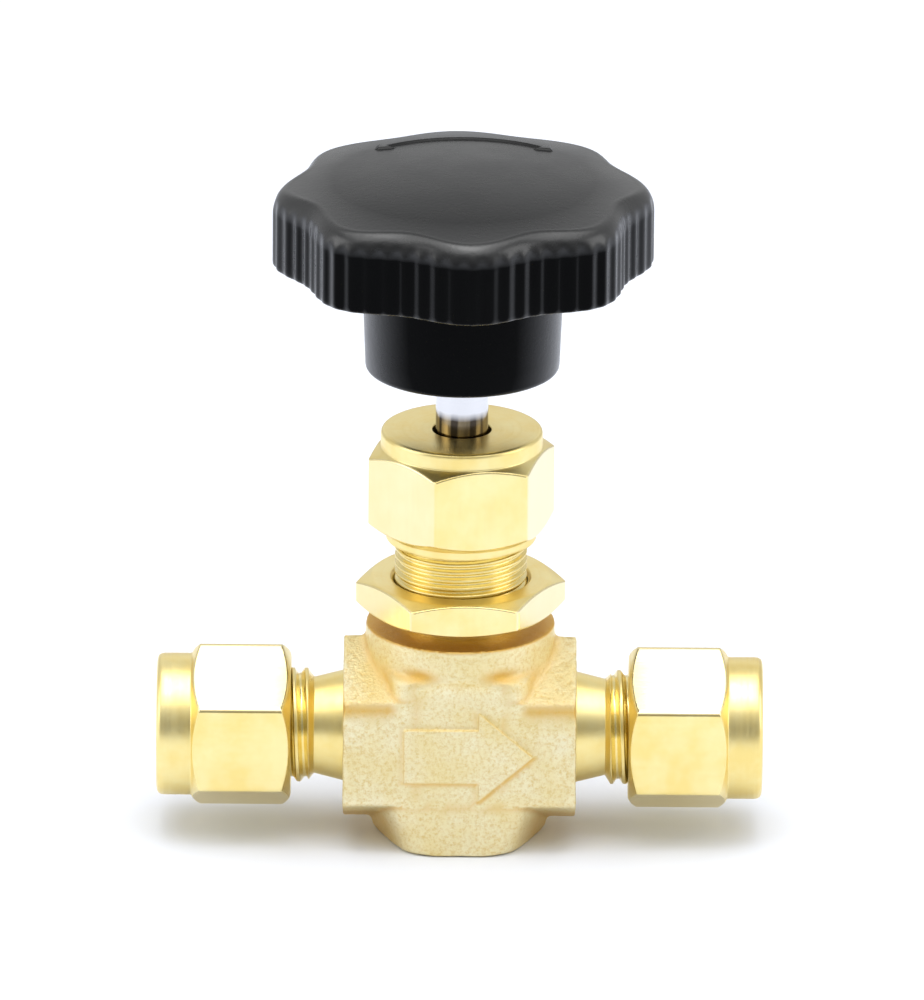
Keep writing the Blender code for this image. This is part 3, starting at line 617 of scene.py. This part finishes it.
def make_bonnet(material):
    """The threaded bonnet above the forging, with the packing's chamber inside."""
    top, chamber_floor = BODY_HIGH.z, WASHER_LOW.z - 0.15 * MM
    outline = softened([
        (CHAMBER_RADIUS, top, 0.1 * MM),
        (BONNET_RADIUS - 0.6 * MM, top, 0.15 * MM),
        (BONNET_RADIUS, top - 0.6 * MM, 0.15 * MM),
        (BONNET_RADIUS, SHOULDER_Z + 1.2 * MM, 0.1 * MM),
        (BONNET_RADIUS - 0.7 * MM, SHOULDER_Z + 0.6 * MM, 0.1 * MM),
        (BONNET_RADIUS - 0.7 * MM, SHOULDER_Z - 1.0 * MM, 0),
        (STEM_BORE_RADIUS, SHOULDER_Z - 1.0 * MM, 0),
        (STEM_BORE_RADIUS, chamber_floor, 0.1 * MM),
        (CHAMBER_RADIUS, chamber_floor, 0.1 * MM),
    ])
    outline = dense(outline, BONNET_PITCH / 20, BONNET_RADIUS - 0.01 * MM)
    shape = threaded(BONNET_RADIUS, BONNET_PITCH, SHOULDER_Z + 0.8 * MM, top + BONNET_PITCH, 0.42, 0.12)
    return place(turned("bonnet_thread", outline, 192, shape), "valve_body", "machined_brass", material)


def make_fitting_end(name, side, material):
    """A tapered waist and a threaded end, with the tube socket and the ferrule's conical mouth."""
    end = FITTING_END
    crest = FITTING_THREAD_RADIUS
    outline = softened([
        (4.4 * MM, end, 0.1 * MM),
        (crest - 0.6 * MM, end, 0.15 * MM),
        (crest, end - 0.6 * MM, 0.15 * MM),
        (crest, 14.4 * MM, 0.1 * MM),
        (4.6 * MM, 13.9 * MM, 0.1 * MM),
        (5.3 * MM, WING_END, 0.0),
        (5.3 * MM, WING_END - 0.4 * MM, 0),
        (2.25 * MM, WING_END - 0.4 * MM, 0),
        (2.25 * MM, 17.5 * MM, 0.1 * MM),
        (3.25 * MM, 17.5 * MM, 0.1 * MM),
        (3.25 * MM, end - 3.0 * MM, 0.1 * MM),
    ])
    outline = dense(outline, NUT_PITCH / 28, crest - 0.01 * MM)
    shape = threaded(crest, NUT_PITCH, 13.9 * MM, end + NUT_PITCH)
    obj = lay_along_flow(turned(name, outline, 160, shape), side)
    return place(obj, "valve_body", "machined_brass", material)


# ---------- nuts, ferrules and gland ----------

def make_packing_nut(material):
    """A hexagon with a round collar on top and a narrow rim below."""
    low, high = PACKING_NUT_LOW.z, PACKING_NUT_HIGH.z
    collar_radius, collar_bottom = 7.7 * MM, high - 1.6 * MM
    flats = 15.88 * MM
    corner = flats / math.sqrt(3)
    drop = (corner - collar_radius) * math.tan(NUT_CHAMFER)
    rim_radius, rim_height = 7.2 * MM, 0.9 * MM
    rise = (corner - rim_radius) * math.tan(NUT_CHAMFER)
    hole, bore, roof = 2.8 * MM, 6.42 * MM, GLAND_HIGH.z + 0.3 * MM
    outline = softened([
        (hole, high, 0.15 * MM),
        (collar_radius, high, 0.45 * MM),
        (collar_radius, collar_bottom, 0.12 * MM),
        (corner, collar_bottom - drop, 0),
        (corner, low + rim_height + rise, 0),
        (rim_radius, low + rim_height, 0.12 * MM),
        (rim_radius, low, 0.35 * MM),
        (bore + 0.15 * MM, low, 0.05 * MM),
        (bore, low + 0.2 * MM, 0.1 * MM),
        (bore, roof, 0.1 * MM),
        (hole, roof, 0),
    ])
    outline = dense(outline, 0.16 * MM, collar_radius - 0.6 * MM)
    turn = math.radians(-16.5 - 90)
    obj = turned("packing_nut_hex", outline, 384, hexagonal(flats, turn), flats_turn=turn)
    return place(obj, "packing_nut", "machined_brass", material, "packing_nut")


def make_panel_nut(material):
    """A thin hexagon, chamfered on both faces."""
    low, high = PANEL_NUT_LOW.z, PANEL_NUT_HIGH.z
    flats = 17.46 * MM
    corner = flats / math.sqrt(3)
    face = flats / 2 - 0.2 * MM
    drop = (corner - face) * math.tan(PANEL_NUT_CHAMFER)
    bore = 6.4 * MM
    outline = softened([
        (bore, high - 0.35 * MM, 0.1 * MM),
        (bore + 0.35 * MM, high, 0.1 * MM),
        (face, high, 0.15 * MM),
        (corner, high - drop, 0),
        (corner, low + drop, 0),
        (face, low, 0.15 * MM),
        (bore + 0.35 * MM, low, 0.1 * MM),
        (bore, low + 0.35 * MM, 0.1 * MM),
    ])
    outline = dense(outline, 0.14 * MM, face - 0.3 * MM)
    turn = math.radians(-27.5 - 90)
    obj = turned("panel_nut_hex", outline, 384, hexagonal(flats, turn), flats_turn=turn)
    return place(obj, "panel_nut", "machined_brass", material, "panel_nut")


def make_tube_nut(prefix, side, material):
    inner, outer = NUT_LOW.x, NUT_HIGH.x
    flats = 14.29 * MM
    corner = flats / math.sqrt(3)
    collar_radius, collar_start = 6.78 * MM, outer - 3.3 * MM
    drop = (corner - collar_radius) * math.tan(NUT_CHAMFER)
    thread, hole = 5.55 * MM, 3.35 * MM
    shoulder = outer - 1.3 * MM
    outline = softened([
        (hole, outer - 0.3 * MM, 0.1 * MM),
        (hole + 0.3 * MM, outer, 0.1 * MM),
        (collar_radius, outer, 0.75 * MM),
        (collar_radius, collar_start, 0.12 * MM),
        (corner, collar_start - drop, 0),
        (corner, inner + drop, 0),
        (collar_radius, inner, 0.2 * MM),
        (thread + 0.25 * MM, inner, 0.1 * MM),
        (thread, inner + 0.3 * MM, 0.1 * MM),
        (thread, shoulder - 2.0 * MM, 0.1 * MM),
        (4.7 * MM, shoulder, 0.1 * MM),
        (hole, shoulder, 0),
    ])
    outline = dense(outline, 0.16 * MM, collar_radius - 0.8 * MM)
    turn = math.radians(side)
    obj = turned(prefix + "_nut_hex", outline, 384, hexagonal(flats, turn), flats_turn=turn)
    lay_along_flow(obj, side)
    return place(obj, prefix + "_nut", "machined_brass", material, prefix + "_nut")


def make_ferrules(prefix, side, material):
    """The front cone and the back ring, with their edges softened."""
    end = FITTING_END
    bore = 3.25 * MM
    front = softened([
        (bore, end + 0.8 * MM, 0.05 * MM),
        (4.1 * MM, end + 1.1 * MM, 0.1 * MM),
        (4.4 * MM, end + 0.8 * MM, 0.1 * MM),
        (4.4 * MM, end + 0.3 * MM, 0.05 * MM),
        (4.2 * MM, end + 0.25 * MM, 0.05 * MM),
        (4.2 * MM, end, 0.05 * MM),
        (bore + 0.15 * MM, end - 2.3 * MM, 0.05 * MM),
        (bore, end - 2.3 * MM, 0.05 * MM),
    ])
    back_end = NUT_HIGH.x - 1.6 * MM
    back = softened([
        (bore, back_end, 0.1 * MM),
        (4.4 * MM, back_end, 0.15 * MM),
        (4.4 * MM, end + 1.85 * MM, 0.1 * MM),
        (3.8 * MM, end + 1.25 * MM, 0.05 * MM),
        (bore, end + 1.25 * MM, 0.05 * MM),
    ])
    body = prefix + "_ferrules"
    for kind, outline in (("_front_ferrule", front), ("_back_ferrule", back)):
        obj = lay_along_flow(turned(prefix + kind + "_turned", outline, 96), side)
        place(obj, body, "machined_brass", material, prefix + kind)


# ---------- stem and knob ----------

def make_stem(material):
    radius, thread = 2.5 * MM, 3.9 * MM
    low, high = 18.8 * MM, 26.8 * MM
    tip_top = 15.3 * MM
    outline = softened([
        (0.0, STEM_HIGH.z, 0),
        (radius, STEM_HIGH.z, 0.4 * MM),
        (radius, high, 0.1 * MM),
        (thread, high, 0.4 * MM),
        (thread, low, 0.4 * MM),
        (radius, low, 0.1 * MM),
        (radius, STEM_LOW.z, 0.2 * MM),
        (1.3 * MM, STEM_LOW.z, 0.05 * MM),
        (1.3 * MM, tip_top, 0.1 * MM),
        (0.0, tip_top, 0),
    ])
    outline = dense(outline, STEM_PITCH / 12, thread - 0.01 * MM, closed=False)
    shape = threaded(thread, STEM_PITCH, low + 0.2 * MM, high - 0.2 * MM)
    obj = turned("stem_turned", outline, 128, shape, closed=False)
    return place(obj, "handle", "stainless_steel", material, "stem")


def skirt_radius(angle):
    """Radius of the skirt between its gripping ribs."""
    wave = np.cos(LOBES * (angle + math.pi / 2 - LOBE_PHASE))
    return HANDLE_HIGH.x - LOBE_DEPTH / 2 * (1 - wave)


def crown_height(radius):
    """Height of the gently domed top at a distance from the axis."""
    return HANDLE_HIGH.z - CROWN_DROP * (radius / HANDLE_HIGH.x) ** 2


def knob_rings(angle):
    """Rings from near the top's centre over the shoulder and down the ribbed skirt."""
    edge = skirt_radius(angle)
    grip = RIB_DEPTH * (1 - np.cos(RIBS * (angle - LOBE_PHASE))) / 2
    inner = edge - SHOULDER_DEPTH
    rings = []
    shares = [np.linspace(0.02, 0.64, 24), np.linspace(0.65, 0.90, 56), np.linspace(0.915, 0.99, 6)]
    for share in np.concatenate(shares):
        radius = inner * share
        x, y = radius * np.cos(angle), radius * np.sin(angle)
        rings.append((radius, crown_height(radius) + 0.22 * MM * turn_arrow(x, y)))
    rise = crown_height(inner) - SKIRT_TOP_Z
    for turn in np.linspace(math.pi / 2, 0, 16):
        rib = max(0.0, 1 - turn * 1.5)
        radius = inner + SHOULDER_DEPTH * math.cos(turn) - grip * rib
        rings.append((radius, SKIRT_TOP_Z + rise * math.sin(turn)))
    for height in np.linspace(SKIRT_TOP_Z - 0.5 * MM, SKIRT_BOTTOM_Z + 0.6 * MM, 6):
        rings.append((edge - grip, np.full_like(angle, height)))
    lift = 0.45 * MM
    for turn in np.linspace(0, math.pi / 2, 5)[1:]:
        radius = edge - lift * (1 - math.cos(turn)) - grip * math.cos(turn)
        rings.append((radius, np.full_like(angle, SKIRT_BOTTOM_Z + lift * (1 - math.sin(turn)))))
    return [np.stack([r * np.cos(angle), r * np.sin(angle), height], axis=-1) for r, height in rings]


def turn_arrow(x, y):
    """Height of a raised double-ended turning arrow near the back of the crown, from 0 to 1."""
    radius, angle = np.hypot(x, y), np.arctan2(x, y)
    mid, half, reach, head = 12.0 * MM, 0.30 * MM, math.radians(38), math.radians(6)
    past = np.abs(angle) - reach
    shaft = np.maximum(np.abs(radius - mid) - half, past * mid)
    tip_half = np.clip((head - past) / head, 0, 1) * 1.1 * MM
    tip = np.maximum(np.abs(radius - mid) - tip_half, -past * mid)
    tip = np.where(past > head, 1.0, tip)
    return np.clip(0.5 - np.minimum(shaft, tip) / (0.3 * MM), 0, 1)


def make_knob(material):
    sides = 640
    angle = np.arange(sides) * 2 * math.pi / sides
    rings = knob_rings(angle) + knob_underside(angle)
    crown_point = np.repeat(np.array([[[0.0, 0.0, HANDLE_HIGH.z]]]), sides, axis=1)
    grid = np.concatenate([crown_point, np.array(rings)], axis=0)
    obj = skinned("knob", grid, closed=False)
    drill(obj)
    return place(obj, "handle", "black_phenolic", material, "handle")


def knob_underside(angle):
    """Rings from the skirt's lower edge over the ribbed recess, down the hub and up the insert's hole."""
    inner, outer, roof = 10.5 * MM, 14.2 * MM, RECESS_ROOF_Z
    rib_half = 0.6 * MM
    rings = []
    edge = skirt_radius(angle) - 0.45 * MM
    to_rib = np.abs((angle - LOBE_PHASE + math.pi / LOBES) % (2 * math.pi / LOBES) - math.pi / LOBES)
    for share, depth in ((0.4, 0.0), (0.75, 0.0), (0.97, 0.0), (1.0, 0.1), (1.01, 0.9), (1.03, 1.0)):
        radius = edge + (outer - edge) * share
        rings.append((radius, depth))
    for radius in np.linspace(outer - 0.4 * MM, inner + 0.25 * MM, 12):
        rings.append((np.full_like(angle, radius), 1.0))
    rings.append((np.full_like(angle, inner + 0.04 * MM), 0.9))
    made = []
    for radius, depth in rings:
        open_share = np.clip((to_rib * radius - rib_half) / (0.15 * MM), 0, 1)
        height = SKIRT_BOTTOM_Z + (roof - SKIRT_BOTTOM_Z) * depth * open_share
        made.append(np.stack([radius * np.cos(angle), radius * np.sin(angle), height], axis=-1))
    insert = 5.3 * MM
    bottom = HANDLE_LOW.z
    hub = softened([
        (inner, SKIRT_BOTTOM_Z, 0),
        (HUB_RADIUS + 0.4 * MM, SKIRT_BOTTOM_Z, 0.3 * MM),
        (HUB_RADIUS, bottom, 0.5 * MM),
        (insert, bottom, 0.2 * MM),
        (insert, INSERT_HOLE_TOP_Z, 0.1 * MM),
        (0.0, INSERT_HOLE_TOP_Z, 0),
    ])
    hub = dense(hub, 1.6 * MM, 1.0 * MM, closed=False)
    for radius, height in hub:
        ring = [radius * np.cos(angle), radius * np.sin(angle), np.full_like(angle, height)]
        made.append(np.stack(ring, axis=-1))
    return made


def cross_axis(obj):
    """Turns a piece made along +Z so that it points to the back, at the set screw's height."""
    middle = (SCREW_LOW.z + SCREW_HIGH.z) / 2
    obj.data.transform(Matrix.Translation((0, 0, middle)) @ Matrix.Rotation(-math.pi / 2, 4, "X"))
    return obj


def drill(obj):
    """The cross hole for the set screw, cut with a straight cylinder."""
    radius = 1.8 * MM
    start, end = 11 * MM, 2.6 * MM
    outline = np.array([(0.0, start), (radius, start), (radius, end), (0.0, end)])
    hole = turned("drill", outline, 48, closed=False)
    cross_axis(hole)
    boolean = obj.modifiers.new("hole", "BOOLEAN")
    boolean.operation = "DIFFERENCE"
    boolean.solver = "MANIFOLD"
    boolean.object = hole
    bpy.context.view_layer.update()
    graph = bpy.context.evaluated_depsgraph_get()
    mesh = bpy.data.meshes.new_from_object(obj.evaluated_get(graph))
    obj.modifiers.clear()
    obj.data = mesh
    bpy.data.objects.remove(hole)


def make_insert(material):
    bore, radius = 2.8 * MM, 5.0 * MM
    outline = softened([
        (bore, INSERT_HIGH.z, 0),
        (radius, INSERT_HIGH.z, 0.2 * MM),
        (radius, INSERT_LOW.z, 0.25 * MM),
        (bore, INSERT_LOW.z, 0.2 * MM),
    ])
    obj = turned("insert_bush", outline, 96)
    drill(obj)
    return place(obj, "handle", "machined_brass", material, "handle_insert")


def make_set_screw(material):
    """A threaded grub screw with a hexagon socket."""
    radius, start, end = 1.5 * MM, SCREW_LOW.y, SCREW_HIGH.y
    socket, floor = 0.92 * MM, end - 1.6 * MM
    outline = softened([
        (0.0, floor - 0.3 * MM, 0),
        (socket, floor, 0),
        (socket, end - 0.12 * MM, 0),
        (socket + 0.14 * MM, end, 0.05 * MM),
        (radius, end, 0.2 * MM),
        (radius, start, 0.3 * MM),
        (0.0, start, 0),
    ])
    outline = dense(outline, 0.05 * MM, radius - 0.01 * MM, closed=False)
    six = hexagonal(1.6 * MM, 0.0, 0.03 * MM)
    cuts = threaded(radius, 0.5 * MM, start, end + 0.5 * MM)

    def shape(angle, size, height):
        inside = (size < 1.0 * MM) & (size > 0)
        return np.where(inside, six(angle, size, height), cuts(angle, size, height))

    obj = cross_axis(turned("grub_screw", outline, 72, shape, closed=False))
    return place(obj, "handle", "stainless_steel", material, "set_screw")


# ---------- stage ----------

def make_floor():
    """A pale floor, just clear of the base."""
    size = 2.0
    floor = mesh_object(
        "floor", [(-size, -size, 0), (size, -size, 0), (size, size, 0), (-size, size, 0)], [(0, 1, 2, 3)]
    )
    gap = 0.00003
    floor.location.z = -gap
    material, tree, shader, coords = new_material("pale_floor")
    cloud = noise(tree, coords, 6.0, 2.0)
    colour = mixed(tree, cloud, (0.84, 0.87, 0.95, 1.0), (0.85, 0.88, 0.96, 1.0))
    tree.links.new(colour, shader.inputs["Base Color"])
    shader.inputs["Roughness"].default_value = 0.9
    shader.inputs["Specular IOR Level"].default_value = 0.0
    floor.data.materials.append(material)


def softbox(name, place_at, width, height, radiance):
    """A rectangular light of a given brightness, facing the valve."""
    light = bpy.data.lights.new(name, "AREA")
    light.shape = "RECTANGLE"
    light.size, light.size_y = width, height
    light.energy = radiance * math.pi * width * height
    obj = bpy.data.objects.new(name, light)
    obj.location = place_at
    aim = Vector((0, 0, TUBE_AXIS_Z * 2)) - Vector(place_at)
    obj.rotation_euler = aim.to_track_quat("-Z", "Y").to_euler()
    obj.visible_camera = False
    bpy.context.scene.collection.objects.link(obj)


def make_lights():
    """Softboxes in a pale room, which is dimmer low down at the front."""
    world = bpy.data.worlds.new("studio")
    world.use_nodes = True
    tree = world.node_tree
    _, y, z = node(tree, "SeparateXYZ", {0: node(tree, "TexCoord").outputs["Generated"]}).outputs
    front = ramp(tree, y, -0.75, -0.25, 1.0, 0.0)
    dim = math_node(tree, "MULTIPLY", front, ramp(tree, z, 0.40, 0.65, 0.55, 0.0))
    room = math_node(tree, "MULTIPLY", math_node(tree, "SUBTRACT", 1.0, dim), 0.70)
    seen = node(tree, "LightPath").outputs["Is Camera Ray"]
    strength = node(tree, "Mix", {0: seen, 2: room, 3: 1.0}, data_type="FLOAT").outputs[0]
    background = tree.nodes["Background"]
    background.inputs["Color"].default_value = (0.98, 0.99, 1.0, 1.0)
    tree.links.new(strength, background.inputs["Strength"])
    bpy.context.scene.world = world
    softbox("top_softbox", (0.0, -0.10, 0.75), 1.00, 0.85, 1.35)
    softbox("top_core", (0.0, -0.08, 0.74), 0.36, 0.42, 2.5)
    softbox("left_softbox", (-0.60, -0.10, 0.28), 0.40, 0.40, 1.6)
    softbox("right_softbox", (0.60, -0.10, 0.28), 0.40, 0.40, 1.6)
    softbox("back_softbox", (0.0, 0.75, 0.35), 0.70, 0.35, 0.25)


def make_camera():
    """Looks down on the front through a long lens, turned very slightly about its own axis."""
    distance, elevation = 1.80, math.radians(20.4)
    tilt, roll = math.radians(19.714), math.radians(0.45)
    data = bpy.data.cameras.new("camera")
    data.lens = 678.4
    data.clip_start, data.clip_end = 0.01, 20.0
    camera = bpy.data.objects.new("camera", data)
    camera.location = (
        0.06 * MM,
        -distance * math.cos(elevation),
        TUBE_AXIS_Z + distance * math.sin(elevation),
    )
    turn = Matrix.Rotation(math.pi / 2 - tilt, 3, "X") @ Matrix.Rotation(roll, 3, "Z")
    camera.rotation_euler = turn.to_euler()
    bpy.context.scene.collection.objects.link(camera)
    bpy.context.scene.camera = camera


def main():
    bpy.context.scene.view_settings.view_transform = "Standard"
    upright_brass = machined_brass("machined_brass_upright", "Z")
    flow_brass = machined_brass("machined_brass_flow", "X")
    steel = polished_steel()
    black = phenolic()
    ptfe = packing_ptfe()
    make_camera()
    make_floor()
    make_lights()
    make_forging(forged_brass())
    make_bonnet(upright_brass)
    make_packing_nut(upright_brass)
    make_panel_nut(upright_brass)
    make_stem(steel)
    make_knob(black)
    make_insert(upright_brass)
    make_set_screw(steel)
    for prefix, side in (("inlet", -1), ("outlet", 1)):
        make_fitting_end(prefix + "_fitting", side, flow_brass)
        make_tube_nut(prefix, side, flow_brass)
        make_ferrules(prefix, side, flow_brass)
    inner = {
        "packing_support": steel,
        "lower_packing": ptfe,
        "upper_packing": ptfe,
        "packing_gland": upright_brass,
        "stem_tip": steel,
    }
    for name, material in inner.items():
        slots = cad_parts[name].data.materials
        slots.clear()
        slots.append(material)


main()
